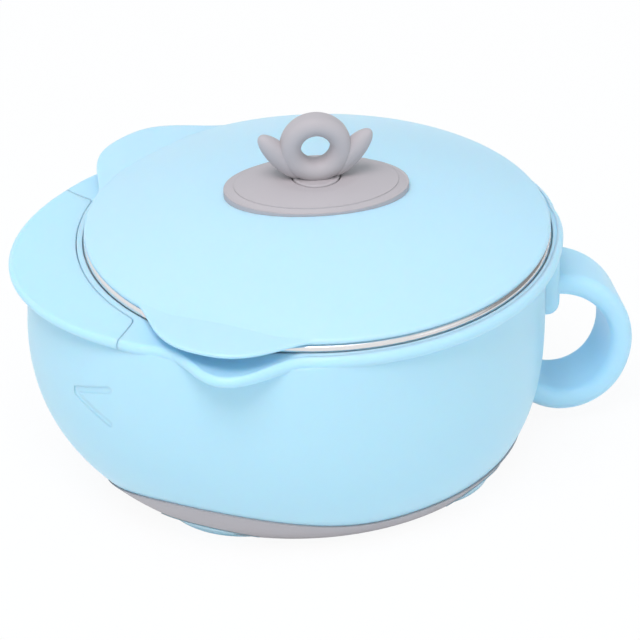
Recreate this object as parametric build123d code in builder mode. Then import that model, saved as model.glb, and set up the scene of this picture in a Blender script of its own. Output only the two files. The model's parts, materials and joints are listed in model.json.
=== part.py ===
# Insulated feeding bowl: steel bowl in a blue outer shell, domed lid with a ring knob.
# Origin at the centre of the base, +Z up, handle towards +X, front visor towards -X.
import os
from math import cos, exp, pi, radians, sin, sqrt, tan

from build123d import *

os.makedirs("parts", exist_ok=True)

# Steel bowl
rim_radius = 65.2
rim_height = 65.8
bead_radius = 1.75
steel_thickness = 0.7
bowl_bottom_height = 9.0
bowl_corner = 22.0
bowl_shoulder = 1.5
bowl_taper = 4.0

# General fits
fit_gap = 0.3
seam_gap = 0.2
seal_height = 1.2

# Outer shell: egg-shaped in plan, rounder towards the handle
shell_thickness = 2.2
floor_thickness = 2.5
base_height = 1.5
lip_thickness = 4.2
wall_inset = 1.6
foot_inset = 12.2
wall_roundness = 4.6
nose_at_base = 9.5
nose_at_middle = 18.1
nose_at_top = 15.6
section_count = 7
outline_count = 32

# Lip, front visor and the two side spouts
lip_overhang = 3.0
visor_reach = 18.3
visor_power = 7
spout_reach = 10.4
spout_angle = 60.0
spout_half_width = 15.5
deck_fall = 1.8
deck_dip = 0.5
lip_rounding = 1.8
lip_under_rounding = 1.0
scoop_depth = 1.6

# Fill cover in the visor, with its port and stopper
seam_inner_angle = 31.0
seam_outer_angle = 37.5
cover_corner = 3.0
cover_inner_gap = 1.6
port_radius = 4.0
plug_depth = 6.0
plug_taper = 0.5
spigot_radius = 2.4
spigot_height = 1.6

# Eye grooves, one on each side of the front
eye_angle = 27.5
eye_height = 43.3
eye_length = 15.5
eye_spread = 2.9
eye_slope = 20.0
eye_width = 1.8
eye_depth = 0.3

# Wave band and feet
band_proud = 0.6
band_sunk = 0.8
band_front = 2.5
band_crest = 14.5
band_low = 6.3
band_crest_angle = 47.0
band_low_angle = 96.0
foot_angle = 47.0
foot_half_angle = 13.0
foot_height = 4.3
foot_end_height = 1.8
foot_width = 8.0
foot_turn_in = 1.6
foot_draw_in = 4.0
foot_sunk = 1.1
foot_proud = 0.9
foot_trim = 1.0

# Handle: flat strap bent into a loop of three arcs and a straight end
handle_width = 21.0
handle_thickness = 6.4
handle_edge = 2.9
handle_start = 44.6
handle_rise = 11.35
handle_upper_bend = 20.2
handle_upper_turn = 72.7
handle_middle_bend = 20.5
handle_middle_turn = 59.0
handle_lower_bend = 14.8
handle_lower_turn = 92.6
handle_end = 8.0
pad_width = 23.0
pad_bottom = 34.7
pad_thickness = 3.8
pad_corner = 6.0
pad_rounding = 3.2

# Lid
lid_rise = 15.2
lid_inset = 0.25
lid_thickness = 1.8
shoulder_drop = 0.9
shoulder_width = 0.8
lid_edge = 0.5
lid_rim_width = 4.6
tab_angle = 54.6
tab_reach = 11.7
tab_front_width = 18.2
tab_rear_width = 16.6
tab_power = 2.77
tab_span = 1.75
tab_thickness = 1.25
tab_nose = 0.6
tab_crease = 61.5
tab_sink = 0.2
tab_tuck = 1.2
skirt_thickness = 1.6
skirt_depth = 6.2
lid_seal_height = 2.2
lid_seal_thickness = 1.4
lid_seal_rounding = 0.6

# Knob and its oval plate, turned a little on the lid
knob_turn = -6.0
plate_length = 51.6
plate_width = 33.2
plate_bevel = 2.8
plate_edge = 0.3
plate_rise = 1.1
plate_line = 0.3
plate_crown = 1.8
plate_step = 0.25
recess_radius = 7.0
recess_depth = 1.2
ring_radius = 7.0
ring_tube = 2.9
ring_depth = 3.9
ring_lift = 12.0
wing_length = 8.9
wing_width = 3.3
wing_reach = 9.6
wing_drop = 2.5
wing_lean = 49.0
neck_radius = 6.6
neck_height = 1.5
neck_rounding = 0.6
stem_radius = 3.0
barb_radius = 5.0
barb_height = 2.0

# Sizes that follow from those above
roof_height = rim_height - lip_thickness
roof_bottom = roof_height - shell_thickness
chamber_floor = base_height + floor_thickness
wall_radius = rim_radius - wall_inset
foot_radius = rim_radius - foot_inset
lip_radius = rim_radius + lip_overhang
visor_tip = lip_radius + visor_reach
deck_slope = deck_fall / (visor_tip - rim_radius)
seat_radius = rim_radius + fit_gap
bead_centre = rim_radius - bead_radius
bead_top = rim_height + bead_radius
seat_height = rim_height - bead_radius - seal_height
bowl_wall_radius = bead_centre - 2 * bead_radius
mouth_radius = bowl_wall_radius + 2 * fit_gap
flange_height = rim_height - steel_thickness / 2
taper = radians(bowl_taper)
corner_top = bowl_bottom_height + bowl_corner * (1 - sin(taper))
flank_top = flange_height - bowl_shoulder * (1 - sin(taper))
bowl_bottom_radius = bowl_wall_radius - (flank_top - corner_top) * tan(taper) - bowl_corner * cos(taper)
cover_inner = seat_radius + cover_inner_gap
port_position = (cover_inner + wall_radius + nose_at_top - shell_thickness) / 2
lid_apex = rim_height + lid_rise
lid_radius = rim_radius - lid_inset
lid_bottom = bead_top + fit_gap
lid_edge_top = lid_bottom + lid_edge
shoulder_radius = lid_radius - shoulder_width
shoulder_height = lid_edge_top + shoulder_drop
dome_drop = lid_apex - shoulder_height
dome_radius = (shoulder_radius ** 2 + dome_drop ** 2) / (2 * dome_drop)
dome_centre = lid_apex - dome_radius
tab_bottom = lid_bottom + fit_gap / 2
tab_root = lid_radius - tab_tuck
skirt_bottom = lid_bottom - skirt_depth
seal_wall_radius = bowl_wall_radius - steel_thickness - (flank_top - skirt_bottom) * tan(taper)
skirt_radius = seal_wall_radius - fit_gap - lid_seal_thickness
plate_edge_height = lid_apex - plate_edge
plate_inner_height = plate_edge_height + plate_rise
plate_top = plate_inner_height + plate_line + plate_crown
recess_floor = plate_top - recess_depth
neck_top = recess_floor + neck_height
ring_height = lid_apex + ring_lift
lid_underside = lid_apex - lid_thickness


def body_radius(angle, height, inset=0.0):
    # Reach of the outer wall at an angle from +X: a round wall plus a nose towards the front.
    rise = (height - base_height) / (roof_height - base_height)
    wall = wall_radius - (wall_radius - foot_radius) * max(1 - rise, 0.0) ** wall_roundness
    low = nose_at_base * (1 - rise) * (1 - 2 * rise)
    middle = nose_at_middle * 4 * rise * (1 - rise)
    high = nose_at_top * rise * (2 * rise - 1)
    return wall + (low + middle + high) * ((1 - cos(angle)) / 2) ** 2 - inset


def spout_share(angle):
    # 1 in the middle of a spout, falling smoothly to 0 at its sides.
    from_middle = abs(angle - pi + radians(spout_angle)) / radians(spout_half_width)
    return cos(min(from_middle, 1.0) * pi / 2) ** 2


def lip_reach(angle):
    # Reach of the lip: round at the rear, a spout at the side and a visor at the front.
    visor = visor_reach * ((1 - cos(angle)) / 2) ** visor_power
    return lip_radius + visor + spout_reach * spout_share(angle)


def dome_height(reach, inset=0.0):
    # Height of the lid's dome at a distance from the axis, or of a dome inside it.
    return dome_centre + sqrt((dome_radius - inset) ** 2 - reach ** 2)


def tab_section(share):
    # Section through a lid tab: rounded nose, top that rises inwards to a straight crease on the dome.
    from_middle = share * tab_span * (tab_rear_width if share > 0 else tab_front_width)
    bell = exp(-((abs(share) * tab_span) ** tab_power))
    reach = tab_root + (lid_radius + tab_reach - tab_root) * bell
    thickness = tab_thickness * (3 + bell) / 4
    nose_root = reach - tab_nose
    crease_limit = min(shoulder_radius - shoulder_width, nose_root - tab_nose)
    crease = min(tab_crease / cos(radians(from_middle)), crease_limit)
    crease_height = dome_height(crease) - tab_sink
    tab_top = tab_bottom + thickness
    heel = tab_root - tab_thickness
    with BuildSketch(radial_plane(pi - radians(tab_angle + from_middle))) as section:
        with BuildLine():
            Line((heel, tab_bottom), (nose_root, tab_bottom))
            ThreePointArc((nose_root, tab_bottom), (reach, (tab_bottom + tab_top) / 2), (nose_root, tab_top))
            Polyline(
                (nose_root, tab_top),
                (crease, crease_height),
                (crease, crease_height - lid_thickness / 2),
                (heel, tab_bottom),
            )
        make_face()
    return section.sketch


def band_height(angle):
    # Upper edge of the wave band: low at the front, a crest at the side, then level to the rear.
    from_front = 180 - angle * 180 / pi
    if from_front < band_crest_angle:
        share = (1 - cos(pi * from_front / band_crest_angle)) / 2
        return band_front + (band_crest - band_front) * share
    fall = (from_front - band_crest_angle) / (band_low_angle - band_crest_angle)
    share = (1 + cos(pi * min(fall, 1.0))) / 2
    return band_low + (band_crest - band_low) * share


def radial_plane(angle):
    # Upright plane through the bowl's axis: its x runs outwards, its y runs up.
    return Plane((0, 0, 0), x_dir=(cos(angle), sin(angle), 0), z_dir=(sin(angle), -cos(angle), 0))


def polar(reach, degrees_from_front, side=1):
    # Plan point at a reach and an angle from the front.
    angle = pi + side * radians(degrees_from_front)
    return (reach * cos(angle), reach * sin(angle))


def egg_sections(bottom, top, inset=0.0):
    # Level sections of the egg-shaped wall, closer together near the base where it turns in.
    sections = []
    for step in range(section_count):
        height = bottom + (top - bottom) * (step / (section_count - 1)) ** 1.5
        points = []
        for spot in range(outline_count):
            angle = 2 * pi * spot / outline_count
            reach = body_radius(angle, height, inset)
            points.append((reach * cos(angle), reach * sin(angle)))
        with BuildSketch(Plane.XY.offset(height)) as section:
            with BuildLine():
                Spline(points, periodic=True)
            make_face()
        sections.append(section.sketch)
    return sections


def ring_profile(inner, outer, bottom, top):
    # Upright rectangle beside the axis, to be turned about it.
    with BuildSketch(Plane.XZ) as profile:
        with Locations(((inner + outer) / 2, (bottom + top) / 2)):
            Rectangle(outer - inner, top - bottom)
    return profile.sketch


def lip_section(angle):
    # Section through the lip: flat underneath, rounded edge, deck that falls and dips at a spout.
    reach = lip_reach(angle)
    edge_top = rim_height - deck_slope * (reach - rim_radius)
    edge_middle = (roof_height + edge_top) / 2
    root = mouth_radius - shell_thickness
    dip = deck_dip + scoop_depth * spout_share(angle)
    deck_start = (seat_radius, rim_height - dip / 2)
    deck_middle = ((seat_radius + reach) / 2, (rim_height + edge_top) / 2 - dip)
    deck_end = (reach - lip_rounding, edge_top)
    with BuildSketch(radial_plane(angle)) as section:
        with BuildLine():
            Line((root, rim_height), (root, roof_height))
            Line((root, roof_height), (reach - lip_under_rounding, roof_height))
            ThreePointArc((reach - lip_under_rounding, roof_height), (reach, edge_middle), deck_end)
            Spline(deck_end, deck_middle, deck_start)
            Line(deck_start, (root, rim_height))
        make_face()
    return section.sketch


def band_section(angle):
    # Section through the wave band: a strip that follows the wall, sunk into it and standing proud.
    top = band_height(angle)
    inner = []
    outer = []
    for step in range(4):
        height = base_height + (top - base_height) * step / 3
        inner.append((body_radius(angle, height, band_sunk), height))
        outer.append((body_radius(angle, height, -band_proud), height))
    with BuildSketch(radial_plane(angle)) as section:
        with BuildLine():
            Spline(inner)
            Line(inner[-1], outer[-1])
            Spline(outer)
            Line(outer[0], inner[0])
        make_face()
    return section.sketch


def foot_section(middle, share):
    # Section through a foot: its outer side continues the wall downwards and draws in towards both ends.
    angle = radians(middle + share * foot_half_angle)
    top = foot_end_height + (foot_height - foot_end_height) * cos(share * pi / 2)
    toe = body_radius(angle, base_height, foot_turn_in + foot_draw_in * share ** 2)
    heel = toe - foot_width
    upper = body_radius(angle, top, -foot_proud)
    heel_top = base_height + foot_sunk * (top - base_height) / (foot_height - base_height)
    with BuildSketch(radial_plane(angle)) as section:
        with BuildLine():
            Line((heel, -foot_trim), (toe, -foot_trim))
            Spline((toe, -foot_trim), ((toe + upper) / 2 + foot_turn_in / 2, top / 2), (upper, top))
            Polyline(
                (upper, top),
                (body_radius(angle, top, foot_sunk), top),
                (body_radius(angle, base_height, foot_sunk), heel_top),
                (heel, heel_top),
                (heel, -foot_trim),
            )
        make_face()
    return section.sketch


# Solid form of the outer wall up into the lip, also used to fit other pieces against it
with BuildPart() as wall_form:
    loft(egg_sections(base_height, roof_height + lip_thickness / 3))

# Lip with visor and spouts, shared by the shell and the fill cover
lip_angles = list(range(0, 80, 20)) + list(range(80, 181, 5))
with BuildPart() as lip_form:
    loft([lip_section(radians(angle)) for angle in lip_angles])
    mirror(about=Plane.XZ)

# Plan of the fill cover between its two seams
with BuildSketch(Plane.XY.offset(roof_height)) as cover_plan:
    with BuildLine():
        ThreePointArc(
            polar(cover_inner, seam_inner_angle, -1),
            polar(cover_inner, 0),
            polar(cover_inner, seam_inner_angle),
        )
        Polyline(
            polar(cover_inner, seam_inner_angle),
            polar(visor_tip + lip_thickness, seam_outer_angle),
            polar(2 * visor_tip, 0),
            polar(visor_tip + lip_thickness, seam_outer_angle, -1),
            polar(cover_inner, seam_inner_angle, -1),
        )
    make_face()
    fillet(cover_plan.vertices().sort_by(Axis.X)[-2:], cover_corner)
with BuildSketch(Plane.XY.offset(roof_height)) as cover_plan_inset:
    add(cover_plan.sketch)
    offset(amount=-seam_gap, mode=Mode.REPLACE)

# Four feet at the corners of the base, cut flat underneath
feet = {}
for end, middle in (("front", 180 - foot_angle), ("rear", foot_angle)):
    with BuildPart() as left_foot:
        loft([foot_section(middle, step / 3 - 1) for step in range(7)])
        split(bisect_by=Plane.XY, keep=Keep.TOP)
    with BuildPart() as right_foot:
        add(left_foot.part)
        mirror(about=Plane.XZ, mode=Mode.REPLACE)
    feet["foot_" + end + "_left"] = left_foot
    feet["foot_" + end + "_right"] = right_foot

# Full form of the wave band, also the recess for it in the shell
with BuildPart() as band_form:
    loft([band_section(radians(angle)) for angle in range(0, 181, 6)])
    mirror(about=Plane.XZ)

# Wave band, sunk into the wall and notched over the feet
with BuildPart() as wave_band:
    add(band_form.part)
    for foot in feet.values():
        add(foot.part, mode=Mode.SUBTRACT)

# Shallow eye grooves, cut to an even depth under the wall's surface
with BuildPart() as eye_form:
    for side in (-1, 1):
        facing = pi + side * radians(eye_angle)
        spot = body_radius(facing, eye_height)
        eye_plane = Plane(
            (spot * cos(facing), spot * sin(facing), eye_height),
            x_dir=(-side * sin(facing), side * cos(facing), 0),
            z_dir=(cos(facing), sin(facing), 0),
        )
        with BuildSketch(eye_plane):
            for stroke in (-1, 1):
                lean = stroke * side * eye_slope
                with Locations(Location((0, stroke * side * eye_spread), lean)):
                    SlotOverall(eye_length, eye_width)
        extrude(amount=shell_thickness * 4, both=True)
    loft(egg_sections(base_height, roof_height, eye_depth), mode=Mode.SUBTRACT)

# Outer shell: wall and lip, hollowed for the warm water, open for the bowl
with BuildPart() as outer_shell:
    add(wall_form.part)
    add(lip_form.part)
    extrude(cover_plan.sketch, amount=2 * lip_thickness, mode=Mode.SUBTRACT)
    loft(egg_sections(chamber_floor, roof_bottom, shell_thickness), mode=Mode.SUBTRACT)
    revolve(ring_profile(0, mouth_radius, roof_bottom - shell_thickness, bead_top), mode=Mode.SUBTRACT)
    revolve(ring_profile(0, seat_radius, seat_height, bead_top), mode=Mode.SUBTRACT)
    with BuildSketch(Plane.XY.offset(roof_height)):
        with Locations((-port_position, 0)):
            Circle(port_radius)
    extrude(amount=-2 * shell_thickness, mode=Mode.SUBTRACT)
    add(eye_form.part, mode=Mode.SUBTRACT)
    add(band_form.part, mode=Mode.SUBTRACT)
    for foot in feet.values():
        add(foot.part, mode=Mode.SUBTRACT)

# Steel bowl: one drawn sheet with a rolled rim
with BuildPart() as inner_bowl:
    with BuildSketch(Plane.XZ):
        with BuildLine():
            base = Line((0, bowl_bottom_height), (bowl_bottom_radius, bowl_bottom_height))
            corner = JernArc(base @ 1, base % 1, bowl_corner, 90 - bowl_taper)
            flank = Line(corner @ 1, (bowl_wall_radius, flank_top))
            shoulder = JernArc(flank @ 1, flank % 1, bowl_shoulder, bowl_taper - 90)
            Line(shoulder @ 1, (bead_centre, flange_height))
            offset(amount=steel_thickness, side=Side.LEFT)
        make_face()
    revolve(axis=Axis.Z)
    with BuildSketch(Plane.XZ):
        with Locations((bead_centre, rim_height)):
            Circle(bead_radius)
    revolve(axis=Axis.Z)

# Seal under the steel rim
with BuildPart() as bowl_seal:
    revolve(ring_profile(mouth_radius, seat_radius - fit_gap, seat_height, seat_height + seal_height))

# Fill cover: the visor between the seams, with a socket for the stopper
with BuildPart() as fill_cover:
    add(lip_form.part)
    extrude(cover_plan_inset.sketch, amount=2 * lip_thickness, mode=Mode.INTERSECT)
    with BuildSketch(Plane.XY.offset(roof_height)):
        with Locations((-port_position, 0)):
            Circle(spigot_radius)
    extrude(amount=spigot_height, mode=Mode.SUBTRACT)

# Stopper of the filling port, pressed into the cover
with BuildPart() as fill_plug:
    with BuildSketch(Plane.XY.offset(roof_height)):
        with Locations((-port_position, 0)):
            Circle(port_radius - fit_gap)
    extrude(amount=-plug_depth, taper=plug_taper)
    with BuildSketch(Plane.XY.offset(roof_height)):
        with Locations((-port_position, 0)):
            Circle(spigot_radius)
    extrude(amount=spigot_height)

# Handle: a rounded pad against the wall under the lip and a strap swept round its loop
with BuildPart() as handle:
    with BuildSketch(Plane.YZ.offset(wall_radius - 2 * shell_thickness)) as pad_plan:
        with Locations((0, (pad_bottom + roof_height) / 2)):
            Rectangle(pad_width, roof_height - pad_bottom)
        fillet(pad_plan.vertices().group_by(Axis.Z)[0], pad_corner)
    extrude(amount=2 * shell_thickness + pad_thickness)
    pad_face = handle.faces().sort_by(Axis.X)[-1]
    fillet(pad_face.edges().sort_by(Axis.Z)[:-1], pad_rounding)
    with BuildLine(Plane.XZ) as loop:
        rise = radians(handle_rise)
        start = (wall_radius - shell_thickness, handle_start)
        upper = JernArc(start, (cos(rise), sin(rise)), handle_upper_bend, -handle_upper_turn)
        middle = JernArc(upper @ 1, upper % 1, handle_middle_bend, -handle_middle_turn)
        lower = JernArc(middle @ 1, middle % 1, handle_lower_bend, -handle_lower_turn)
        Line(lower @ 1, lower @ 1 + lower % 1 * handle_end)
    with BuildSketch(Plane(loop.line @ 0, x_dir=(0, 1, 0), z_dir=loop.line % 0)):
        RectangleRounded(handle_width, handle_thickness, handle_edge)
    sweep(path=loop.line)
    add(wall_form.part, mode=Mode.SUBTRACT)

# Two grip tabs of the lid
with BuildPart() as tab_form:
    loft([tab_section(step / 9) for step in range(-9, 10)])
    mirror(about=Plane.XZ)

# Lid: dome with a rounded edge, the two tabs and a skirt inside the bowl's mouth
inner_rim = lid_radius - lid_rim_width
inner_rim_height = dome_height(inner_rim, lid_thickness)
skirt_top = dome_height(skirt_radius, lid_thickness / 2)
with BuildPart() as lid_shell:
    with BuildSketch(Plane.XZ):
        with BuildLine():
            dome = RadiusArc((0, lid_apex), (shoulder_radius, shoulder_height), dome_radius)
            shoulder = TangentArc(dome @ 1, (lid_radius, lid_edge_top), tangent=dome % 1)
            Polyline(
                shoulder @ 1,
                (lid_radius, lid_bottom),
                (inner_rim, lid_bottom),
                (inner_rim, inner_rim_height),
            )
            RadiusArc((inner_rim, inner_rim_height), (0, lid_underside), lid_thickness - dome_radius)
            Line((0, lid_underside), (0, lid_apex))
        make_face()
    revolve(axis=Axis.Z)
    add(tab_form.part)
    revolve(ring_profile(skirt_radius - skirt_thickness, skirt_radius, skirt_bottom, skirt_top))
    with Locations((0, 0, lid_apex)):
        Hole(stem_radius, depth=lid_rise)

# Seal round the lid's skirt
with BuildPart() as lid_seal:
    revolve(
        ring_profile(
            skirt_radius,
            skirt_radius + lid_seal_thickness,
            skirt_bottom,
            skirt_bottom + lid_seal_height,
        )
    )
    fillet(lid_seal.edges().filter_by(GeomType.CIRCLE).sort_by(SortBy.RADIUS)[-2:], lid_seal_rounding)

# Solid form of the dome, used to seat the plate on it
with BuildPart() as dome_form:
    with BuildSketch(Plane.XZ):
        with BuildLine():
            top = RadiusArc((0, lid_apex), (shoulder_radius, shoulder_height), dome_radius)
            Polyline(top @ 1, (shoulder_radius, lid_bottom), (0, lid_bottom), (0, lid_apex))
        make_face()
    revolve(axis=Axis.Z)

# Oval plate: upright edge, bevel and a low crown up to the knob
half_length = plate_length / 2
half_width = plate_width / 2
inner_length = half_length - plate_bevel
inner_width = half_width - plate_bevel / 2
with BuildPart() as knob_plate:
    with BuildSketch(Plane.XY.offset(lid_apex - lid_thickness - plate_rise)):
        Ellipse(half_length, half_width, rotation=knob_turn)
    extrude(amount=lid_thickness + plate_rise - plate_edge)
    with BuildSketch(Plane.XY.offset(plate_edge_height)) as bevel_low:
        Ellipse(half_length, half_width, rotation=knob_turn)
    with BuildSketch(Plane.XY.offset(plate_inner_height)) as bevel_high:
        Ellipse(inner_length, inner_width, rotation=knob_turn)
    loft([bevel_low.sketch, bevel_high.sketch])
    with BuildSketch(Plane.XY.offset(plate_inner_height)):
        Ellipse(inner_length - plate_step, inner_width - plate_step, rotation=knob_turn)
    extrude(amount=plate_line)
    crown = []
    for share in (1.0, 0.8, 0.55, 0.3):
        rise = plate_crown * (1 - share ** 2) / (1 - 0.3 ** 2)
        with BuildSketch(Plane.XY.offset(plate_inner_height + plate_line + rise)) as level:
            Ellipse(
                recess_radius + (inner_length - plate_step - recess_radius) * share,
                recess_radius + (inner_width - plate_step - recess_radius) * share,
                rotation=knob_turn,
            )
        crown.append(level.sketch)
    loft(crown)
    add(dome_form.part, mode=Mode.SUBTRACT)
    with Locations((0, 0, recess_floor)):
        Cylinder(
            recess_radius,
            recess_depth * 3,
            align=(Align.CENTER, Align.CENTER, Align.MIN),
            mode=Mode.SUBTRACT,
        )
    with Locations((0, 0, plate_top)):
        Hole(stem_radius, depth=lid_rise)

# Knob: upright ring with two leaf wings on a round neck, held by a stem through the lid
turn = radians(knob_turn)
knob_along = Vector(cos(turn), sin(turn), 0)
knob_across = Vector(-sin(turn), cos(turn), 0)
with BuildPart() as lid_knob:
    with BuildSketch(Plane((0, 0, ring_height), x_dir=knob_across, z_dir=knob_along)):
        with Locations((0, ring_radius)):
            SlotOverall(2 * ring_depth, 2 * ring_tube)
    revolve(axis=Axis((0, 0, ring_height), knob_across))
    for side in (-1, 1):
        lean_axis = knob_along * side * cos(radians(wing_lean)) + Vector(0, 0, sin(radians(wing_lean)))
        wing_centre = knob_along * side * wing_reach + Vector(0, 0, ring_height - wing_drop)
        with BuildSketch(Plane(wing_centre, x_dir=lean_axis, z_dir=lean_axis.cross(knob_across))):
            with BuildLine():
                EllipticalCenterArc((0, 0), wing_length, wing_width, 0, arc_size=180)
                Line((-wing_length, 0), (wing_length, 0))
            make_face()
        revolve(axis=Axis(wing_centre, lean_axis))
    with BuildSketch(Plane.YZ):
        with BuildLine():
            Polyline(
                (0, lid_underside - barb_height),
                (stem_radius, lid_underside - barb_height),
                (barb_radius, lid_underside - barb_height / 2),
                (barb_radius, lid_underside - plate_step),
                (stem_radius, lid_underside - plate_step),
                (stem_radius, recess_floor),
                (neck_radius, recess_floor),
                (neck_radius, neck_top - neck_rounding),
            )
            TangentArc(
                (neck_radius, neck_top - neck_rounding),
                (neck_radius - neck_rounding, neck_top),
                tangent=(0, 1),
            )
            Polyline((neck_radius - neck_rounding, neck_top), (0, neck_top), (0, lid_underside - barb_height))
        make_face()
    revolve(axis=Axis.Z)

pieces = {
    "outer_shell": outer_shell,
    "inner_bowl": inner_bowl,
    "bowl_seal": bowl_seal,
    "fill_cover": fill_cover,
    "fill_plug": fill_plug,
    "handle": handle,
    "wave_band": wave_band,
    "lid_shell": lid_shell,
    "lid_seal": lid_seal,
    "knob_plate": knob_plate,
    "lid_knob": lid_knob,
}
pieces.update(feet)
for name, piece in pieces.items():
    piece.part.label = name
    export_step(piece.part, "parts/" + name + ".step")
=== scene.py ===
import json
import math

import bpy
import numpy as np
from mathutils import Matrix, Vector


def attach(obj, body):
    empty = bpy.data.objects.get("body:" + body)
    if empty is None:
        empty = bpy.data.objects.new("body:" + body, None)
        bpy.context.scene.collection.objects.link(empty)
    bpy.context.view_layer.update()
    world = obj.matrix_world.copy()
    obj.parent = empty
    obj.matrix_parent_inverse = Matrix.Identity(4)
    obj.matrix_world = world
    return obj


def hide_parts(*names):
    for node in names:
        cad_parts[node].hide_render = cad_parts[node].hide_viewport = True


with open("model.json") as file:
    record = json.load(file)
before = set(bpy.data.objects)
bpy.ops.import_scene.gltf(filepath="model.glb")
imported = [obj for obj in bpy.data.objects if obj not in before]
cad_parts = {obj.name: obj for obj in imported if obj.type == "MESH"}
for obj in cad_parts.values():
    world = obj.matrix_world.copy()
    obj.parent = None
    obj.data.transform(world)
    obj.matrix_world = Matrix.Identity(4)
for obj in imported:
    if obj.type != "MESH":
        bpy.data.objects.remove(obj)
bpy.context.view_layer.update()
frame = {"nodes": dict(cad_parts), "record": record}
nodes = frame["nodes"]
scene = bpy.context.scene
print("frame loaded,", len(nodes), "nodes")

# camera: far away with a long lens, a little to the front of the side
cameraLook = {
    "aim": (-0.002168, -0.012154, 0.044825),
    "azimuth": -11.0,
    "elevation": 30.24,
    "roll": -1.302,
    "distance": 1.39245,
    "lens": 281.25,
    "sensorWidth": 36.0,
    "clipEnd": 20.0,
}


def makeCamera(look):
    # right, up and back are the view's own axes; the roll turns right and up about back
    turn, tilt, roll = (math.radians(look[key]) for key in ("azimuth", "elevation", "roll"))
    back = Vector((math.sin(turn) * math.cos(tilt), -math.cos(turn) * math.cos(tilt), math.sin(tilt)))
    right = Vector((math.cos(turn), math.sin(turn), 0))
    up = back.cross(right)
    rightRolled = right * math.cos(roll) + up * math.sin(roll)
    upRolled = up * math.cos(roll) - right * math.sin(roll)
    data = bpy.data.cameras.new("photoCamera")
    data.lens = look["lens"]
    data.sensor_width = look["sensorWidth"]
    data.clip_end = look["clipEnd"]
    camera = bpy.data.objects.new("photoCamera", data)
    place = Matrix((rightRolled, upRolled, back)).transposed().to_4x4()
    place.translation = Vector(look["aim"]) + back * look["distance"]
    camera.matrix_world = place
    scene.collection.objects.link(camera)
    scene.camera = camera


makeCamera(cameraLook)
print("camera set")

# materials: each has a soft colour drift, a roughness drift and a fine bump, all on Object coordinates
surfaceLook = {"noiseDetail": 3.0, "noiseLow": 0.3, "noiseHigh": 0.7, "edgeSamples": 6}


def newMaterial(name):
    material = bpy.data.materials.new(name)
    material.use_nodes = True
    tree = material.node_tree
    shader = next(node for node in tree.nodes if node.type == "BSDF_PRINCIPLED")
    where = tree.nodes.new("ShaderNodeTexCoord").outputs["Object"]
    return material, tree, shader, where


def noiseNode(tree, where, scale, detail=surfaceLook["noiseDetail"]):
    noise = tree.nodes.new("ShaderNodeTexNoise")
    noise.inputs["Scale"].default_value = scale
    noise.inputs["Detail"].default_value = detail
    tree.links.new(where, noise.inputs["Vector"])
    return noise.outputs["Fac"]


def spread(tree, noise, low, high):
    # stretches the usual range of a noise to low..high
    ranged = tree.nodes.new("ShaderNodeMapRange")
    ranged.inputs["From Min"].default_value = surfaceLook["noiseLow"]
    ranged.inputs["From Max"].default_value = surfaceLook["noiseHigh"]
    ranged.inputs["To Min"].default_value = low
    ranged.inputs["To Max"].default_value = high
    tree.links.new(noise, ranged.inputs["Value"])
    return ranged.outputs["Result"]


def colourMix(tree, share):
    # mixes two colours by share; gives the sockets of the first colour, the second and the result
    mix = tree.nodes.new("ShaderNodeMix")
    mix.data_type = "RGBA"
    sockets = {socket.identifier: socket for socket in (*mix.inputs, *mix.outputs)}
    tree.links.new(share, sockets["Factor_Float"])
    return sockets["A_Color"], sockets["B_Color"], sockets["Result_Color"]


def twoTone(tree, share, first, second):
    firstColour, secondColour, result = colourMix(tree, share)
    firstColour.default_value = (*first, 1)
    secondColour.default_value = (*second, 1)
    return result


def fineBump(tree, shader, height, strength, distance, edge=0.0):
    # a grain on the surface; edge is the radius over which sharp edges look rounded
    bump = tree.nodes.new("ShaderNodeBump")
    if edge:
        rounded = tree.nodes.new("ShaderNodeBevel")
        rounded.samples = surfaceLook["edgeSamples"]
        rounded.inputs["Radius"].default_value = edge
        tree.links.new(rounded.outputs["Normal"], bump.inputs["Normal"])
    bump.inputs["Strength"].default_value = strength
    bump.inputs["Distance"].default_value = distance
    tree.links.new(height, bump.inputs["Height"])
    tree.links.new(bump.outputs["Normal"], shader.inputs["Normal"])


def mouldedPlastic(name, look):
    # colour drifts between two near tones, the skin has a fine spark-eroded grain
    material, tree, shader, where = newMaterial(name)
    drift = noiseNode(tree, where, look["driftScale"])
    tree.links.new(twoTone(tree, drift, look["tone"], look["toneDeep"]), shader.inputs["Base Color"])
    grain = noiseNode(tree, where, look["grainScale"], look["grainDetail"])
    tree.links.new(spread(tree, grain, *look["roughness"]), shader.inputs["Roughness"])
    fineBump(tree, shader, grain, look["bump"], look["bumpDepth"], look["edge"])
    shader.inputs["IOR"].default_value = look["ior"]
    shader.inputs["Specular IOR Level"].default_value = look["specular"]
    shader.inputs["Subsurface Weight"].default_value = look["subsurface"]
    shader.inputs["Subsurface Radius"].default_value = look["subsurfaceRadius"]
    shader.inputs["Subsurface Scale"].default_value = look["subsurfaceScale"]
    return material


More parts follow.
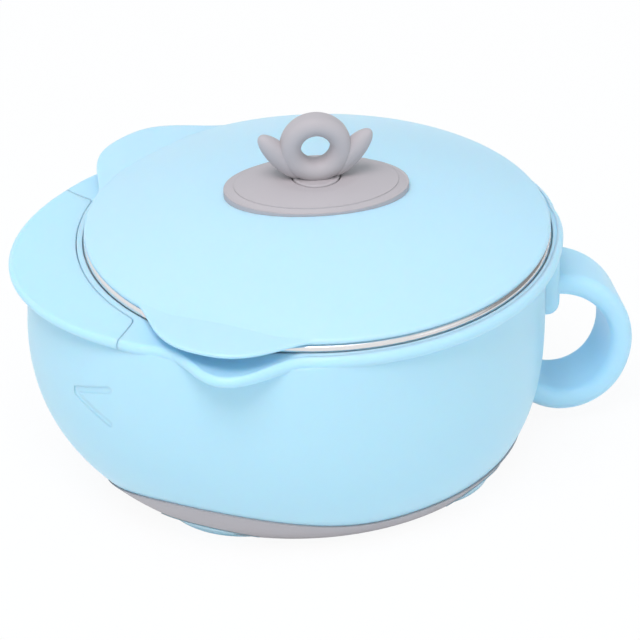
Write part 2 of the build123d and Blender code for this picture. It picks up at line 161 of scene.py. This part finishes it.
# what all moulded pieces share, then what the two blue ones share
mouldedLook = {"grainDetail": 4.0, "bumpDepth": 0.0002, "ior": 1.5}
blueLook = {
    **mouldedLook, "grainScale": 2600.0, "edge": 0.0008, "specular": 0.4,
    "subsurface": 0.35, "subsurfaceRadius": (0.3, 0.7, 1.0), "subsurfaceScale": 0.004,
}
shellPlastic = mouldedPlastic("shellPlastic", {
    **blueLook, "tone": (0.525, 0.822, 0.990), "toneDeep": (0.510, 0.810, 0.982), "driftScale": 28.0,
    "roughness": (0.34, 0.42), "bump": 0.06,
})
lidPlastic = mouldedPlastic("lidPlastic", {
    **blueLook, "tone": (0.545, 0.815, 0.992), "toneDeep": (0.530, 0.803, 0.985), "driftScale": 24.0,
    "roughness": (0.30, 0.38), "bump": 0.05,
})
greySoft = mouldedPlastic("greySoft", {
    **mouldedLook, "tone": (0.525, 0.480, 0.485), "toneDeep": (0.500, 0.458, 0.466), "driftScale": 60.0,
    "grainScale": 3200.0, "roughness": (0.52, 0.62), "bump": 0.10, "edge": 0.0004, "specular": 0.35,
    "subsurface": 0.05, "subsurfaceRadius": (0.8, 0.8, 0.8), "subsurfaceScale": 0.002,
})
clearSoft = mouldedPlastic("clearSoft", {
    **mouldedLook, "tone": (0.80, 0.82, 0.84), "toneDeep": (0.76, 0.79, 0.82), "driftScale": 80.0,
    "grainScale": 2400.0, "roughness": (0.36, 0.46), "bump": 0.05, "edge": 0.0004, "specular": 0.45,
    "subsurface": 0.3, "subsurfaceRadius": (1.0, 1.0, 1.0), "subsurfaceScale": 0.003,
})


def spunSteel(name, look):
    # turning lines: a noise on the distance from the bowl's axis and on the height
    material, tree, shader, where = newMaterial(name)
    apart = tree.nodes.new("ShaderNodeSeparateXYZ")
    tree.links.new(where, apart.inputs["Vector"])
    plan = tree.nodes.new("ShaderNodeCombineXYZ")
    tree.links.new(apart.outputs["X"], plan.inputs["X"])
    tree.links.new(apart.outputs["Y"], plan.inputs["Y"])
    reach = tree.nodes.new("ShaderNodeVectorMath")
    reach.operation = "LENGTH"
    tree.links.new(plan.outputs["Vector"], reach.inputs[0])
    rings = tree.nodes.new("ShaderNodeCombineXYZ")
    tree.links.new(reach.outputs["Value"], rings.inputs["X"])
    tree.links.new(apart.outputs["Z"], rings.inputs["Z"])
    lines = noiseNode(tree, rings.outputs["Vector"], look["lineScale"], look["lineDetail"])
    drift = noiseNode(tree, where, look["driftScale"])
    tree.links.new(twoTone(tree, drift, look["tone"], look["toneDeep"]), shader.inputs["Base Color"])
    tree.links.new(spread(tree, lines, *look["roughness"]), shader.inputs["Roughness"])
    fineBump(tree, shader, lines, look["bump"], look["bumpDepth"])
    shader.inputs["Metallic"].default_value = 1.0
    shader.inputs["Anisotropic"].default_value = look["anisotropic"]
    return material


steel = spunSteel("spunSteel", {
    "tone": (0.80, 0.79, 0.79), "toneDeep": (0.74, 0.73, 0.74), "driftScale": 40.0,
    "lineScale": 1800.0, "lineDetail": 2.0, "roughness": (0.16, 0.26), "anisotropic": 0.4,
    "bump": 0.08, "bumpDepth": 0.0001,
})
print("materials made")

finishes = {
    "shell_blue": shellPlastic,
    "lid_blue": lidPlastic,
    "steel": steel,
    "grey_soft": greySoft,
    "clear_soft": clearSoft,
}


def dress(piece, material):
    piece.data.materials.clear()
    piece.data.materials.append(material)


for entry in frame["record"]["subparts"]:
    dress(nodes[entry["node"]], finishes[entry["material_slot"]])
print("nodes dressed")

# feet: four blue crescents under the band, fuller than the solids; each follows the wall's plan
wallLook = {
    "base": 0.0015,
    "roof": 0.0616,
    "footRadius": 0.0530,
    "wallRadius": 0.0636,
    "roundness": 4.6,
    "nose": (0.0095, 0.0181, 0.0156),  # growth to the front at the base, at half height and at the roof
}
footLook = {
    "front": 133.0,  # middle of a foot, in degrees round from the handle
    "rear": 48.0,
    "halfAngle": 14.5,
    "height": 0.0043,
    "endHeight": 0.0018,
    "width": 0.0080,
    "toeOut": 0.0006,
    "drawIn": 0.0030,
    "sunk": 0.0011,
    "proud": 0.0009,
    "flare": 1.2,
    "soleRounding": 0.0006,
    "sharpAngle": 40.0,
    "stepsAlong": 41,
    "stepsToe": 5,
    "stepsUp": 9,
}


def wallReach(angle, height, wall):
    # wall radius, less the turn-in (1 - rise)^roundness, plus the nose times ((1 - cos angle) / 2)^2
    rise = (height - wall["base"]) / (wall["roof"] - wall["base"])
    turnIn = (wall["wallRadius"] - wall["footRadius"]) * (1 - rise) ** wall["roundness"]
    low, middle, high = wall["nose"]
    nose = low * (1 - rise) * (1 - 2 * rise) + middle * 4 * rise * (1 - rise) + high * rise * (2 * rise - 1)
    return wall["wallRadius"] - turnIn + nose * ((1 - np.cos(angle)) / 2) ** 2


def footSection(share, angle, look, wall):
    # share runs -1..1 along the foot: the top falls off as a cosine, the toe draws in as a square;
    # each row goes round the section: sole, rounded toe, outer side that flares as a power, back
    base = np.full_like(share, wall["base"])
    ground = np.zeros_like(share)
    top = look["endHeight"] + (look["height"] - look["endHeight"]) * np.cos(share * np.pi / 2)
    wallBase = wallReach(angle, base, wall)
    wallTop = wallReach(angle, top, wall)
    toe = wallBase + look["toeOut"] - look["drawIn"] * share ** 2
    heel = toe - look["width"]
    heelTop = base + look["sunk"] * (top - base) / (look["height"] - wall["base"])
    soft = look["soleRounding"]
    turn = np.linspace(0, np.pi / 2, look["stepsToe"])[:, None]
    climb = np.linspace(0, 1, look["stepsUp"])[1:, None]
    toeReach = toe - soft * (1 - np.sin(turn))
    toeHeight = ground + soft * (1 - np.cos(turn))
    sideReach = toe + (wallTop + look["proud"] - toe) * climb ** look["flare"]
    sideHeight = soft + (top - soft) * climb
    reach = np.vstack((heel, toeReach, sideReach, wallTop - look["sunk"], wallBase - look["sunk"], heel))
    height = np.vstack((ground, toeHeight, sideHeight, top, heelTop, heelTop))
    return reach.T, height.T


def closedMesh(name, points, side, sharpAngle):
    # quads between neighbouring sections and a face on each end; the mirrored side turns its faces round
    rows, columns = points.shape[:2]
    row, column = np.meshgrid(np.arange(rows - 1), np.arange(columns), indexing="ij")
    after = (column + 1) % columns
    here = row * columns
    there = here + columns
    quads = np.stack((here + column, here + after, there + after, there + column), -1).reshape(-1, 4)
    firstEnd = np.arange(columns)
    lastEnd = firstEnd + (rows - 1) * columns
    faces = [*quads[:, ::-side].tolist(), firstEnd[::side].tolist(), lastEnd[::-side].tolist()]
    mesh = bpy.data.meshes.new(name)
    mesh.from_pydata(points.reshape(-1, 3).tolist(), [], faces)
    mesh.polygons.foreach_set("use_smooth", np.ones(len(mesh.polygons), dtype=bool))
    mesh.set_sharp_from_angle(angle=math.radians(sharpAngle))
    return mesh


def makeFoot(name, node, middle, side, look):
    # the section carried round the bowl's axis, from one end of the foot to the other
    share = np.linspace(-1, 1, look["stepsAlong"])
    angle = np.radians(middle + share * look["halfAngle"])
    reach, height = footSection(share, angle, look, wallLook)
    cosine = np.cos(angle)[:, None]
    sine = side * np.sin(angle)[:, None]
    points = np.stack((reach * cosine, reach * sine, height), -1)
    foot = bpy.data.objects.new(name, closedMesh(name, points, side, look["sharpAngle"]))
    scene.collection.objects.link(foot)
    dress(foot, shellPlastic)
    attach(foot, "base")
    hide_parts(node)


for end in ("front", "rear"):
    for hand, side in (("Left", 1), ("Right", -1)):
        node = "foot_" + end + "_" + hand.lower()
        makeFoot(end + hand + "Foot", node, footLook[end], side, footLook)
print("feet made")


def seenRays(tree, kinds):
    # 1 for the named kinds of ray, otherwise 0
    rays = tree.nodes.new("ShaderNodeLightPath")
    seen = rays.outputs[kinds[0]]
    for kind in kinds[1:]:
        either = tree.nodes.new("ShaderNodeMath")
        either.operation = "MAXIMUM"
        tree.links.new(seen, either.inputs[0])
        tree.links.new(rays.outputs[kind], either.inputs[1])
        seen = either.outputs["Value"]
    return seen


# floor: near white to the camera and in the steel, with a share of the object's own soft shadow left on it
floorLook = {
    "half": 3.0,
    "tone": (0.92, 0.92, 0.92),
    "whiteShare": 0.93,
    "fibreScale": 900.0,
    "roughness": (0.85, 0.95),
    "specular": 0.1,
}


def makeFloor(look):
    half = look["half"]
    corners = [(-half, -half, 0), (half, -half, 0), (half, half, 0), (-half, half, 0)]
    mesh = bpy.data.meshes.new("floor")
    mesh.from_pydata(corners, [], [(0, 1, 2, 3)])
    floor = bpy.data.objects.new("floor", mesh)
    scene.collection.objects.link(floor)
    material, tree, shader, where = newMaterial("floorPaper")
    fibre = noiseNode(tree, where, look["fibreScale"])
    tree.links.new(spread(tree, fibre, *look["roughness"]), shader.inputs["Roughness"])
    shader.inputs["Base Color"].default_value = (*look["tone"], 1)
    shader.inputs["Specular IOR Level"].default_value = look["specular"]
    white = tree.nodes.new("ShaderNodeEmission")
    share = tree.nodes.new("ShaderNodeMath")
    share.operation = "MULTIPLY"
    share.inputs[1].default_value = look["whiteShare"]
    tree.links.new(seenRays(tree, ("Is Camera Ray", "Is Glossy Ray", "Is Transmission Ray")), share.inputs[0])
    mix = tree.nodes.new("ShaderNodeMixShader")
    tree.links.new(share.outputs["Value"], mix.inputs["Fac"])
    tree.links.new(shader.outputs["BSDF"], mix.inputs[1])
    tree.links.new(white.outputs["Emission"], mix.inputs[2])
    output = next(node for node in tree.nodes if node.type == "OUTPUT_MATERIAL")
    tree.links.new(mix.outputs["Shader"], output.inputs["Surface"])
    dress(floor, material)


makeFloor(floorLook)

# light: an even, slightly cool room, a large soft lamp high at the front left and a weak one at the right
lightLook = {
    "aim": (0, 0, 0.05),
    "room": {"level": 0.70, "tint": (0.80, 0.93, 1.0),
             "darkSide": (0.85, 0.45, 0.25), "darkLevel": 0.3, "darkFrom": 0.1, "darkTo": 0.9},
    "key": {"place": (-0.45, -0.75, 1.95), "size": 1.2, "watts": 23.0, "tint": (1.0, 0.93, 0.98)},
    "fill": {"place": (1.4, -0.9, 0.9), "size": 1.2, "watts": 1.5, "tint": (1.0, 1.0, 1.0)},
}


def makeLamp(name, look, aim):
    data = bpy.data.lights.new(name, "AREA")
    data.shape = "DISK"
    data.size = look["size"]
    data.energy = look["watts"]
    data.color = look["tint"]
    lamp = bpy.data.objects.new(name, data)
    place = Vector(look["place"])
    lamp.location = place
    lamp.rotation_euler = (Vector(aim) - place).to_track_quat("-Z", "Y").to_euler()
    scene.collection.objects.link(lamp)


def makeRoom(look):
    world = bpy.data.worlds.new("room")
    world.use_nodes = True
    tree = world.node_tree
    background = next(node for node in tree.nodes if node.type == "BACKGROUND")
    # darker the more a ray points to the dark side, at the right rear
    facing = tree.nodes.new("ShaderNodeVectorMath")
    facing.operation = "DOT_PRODUCT"
    tree.links.new(tree.nodes.new("ShaderNodeTexCoord").outputs["Generated"], facing.inputs[0])
    facing.inputs[1].default_value = Vector(look["darkSide"]).normalized()
    grey = tree.nodes.new("ShaderNodeMapRange")
    grey.interpolation_type = "SMOOTHSTEP"
    grey.inputs["From Min"].default_value = look["darkFrom"]
    grey.inputs["From Max"].default_value = look["darkTo"]
    grey.inputs["To Min"].default_value = 1.0
    grey.inputs["To Max"].default_value = look["darkLevel"]
    tree.links.new(facing.outputs["Value"], grey.inputs["Value"])
    # reflections see that grey, the camera sees white, and all other rays get the room's own light
    ownLight, reflection, lit = colourMix(tree, seenRays(tree, ("Is Glossy Ray",)))
    ownLight.default_value = (*(look["level"] * channel for channel in look["tint"]), 1)
    tree.links.new(grey.outputs["Result"], reflection)
    unseen, backdrop, result = colourMix(tree, seenRays(tree, ("Is Camera Ray", "Is Transmission Ray")))
    tree.links.new(lit, unseen)
    backdrop.default_value = (1, 1, 1, 1)
    tree.links.new(result, background.inputs["Color"])
    background.inputs["Strength"].default_value = 1.0
    scene.world = world


makeLamp("keyLamp", lightLook["key"], lightLook["aim"])
makeLamp("fillLamp", lightLook["fill"], lightLook["aim"])
makeRoom(lightLook["room"])
scene.view_settings.view_transform = "Standard"
print("floor and light set")
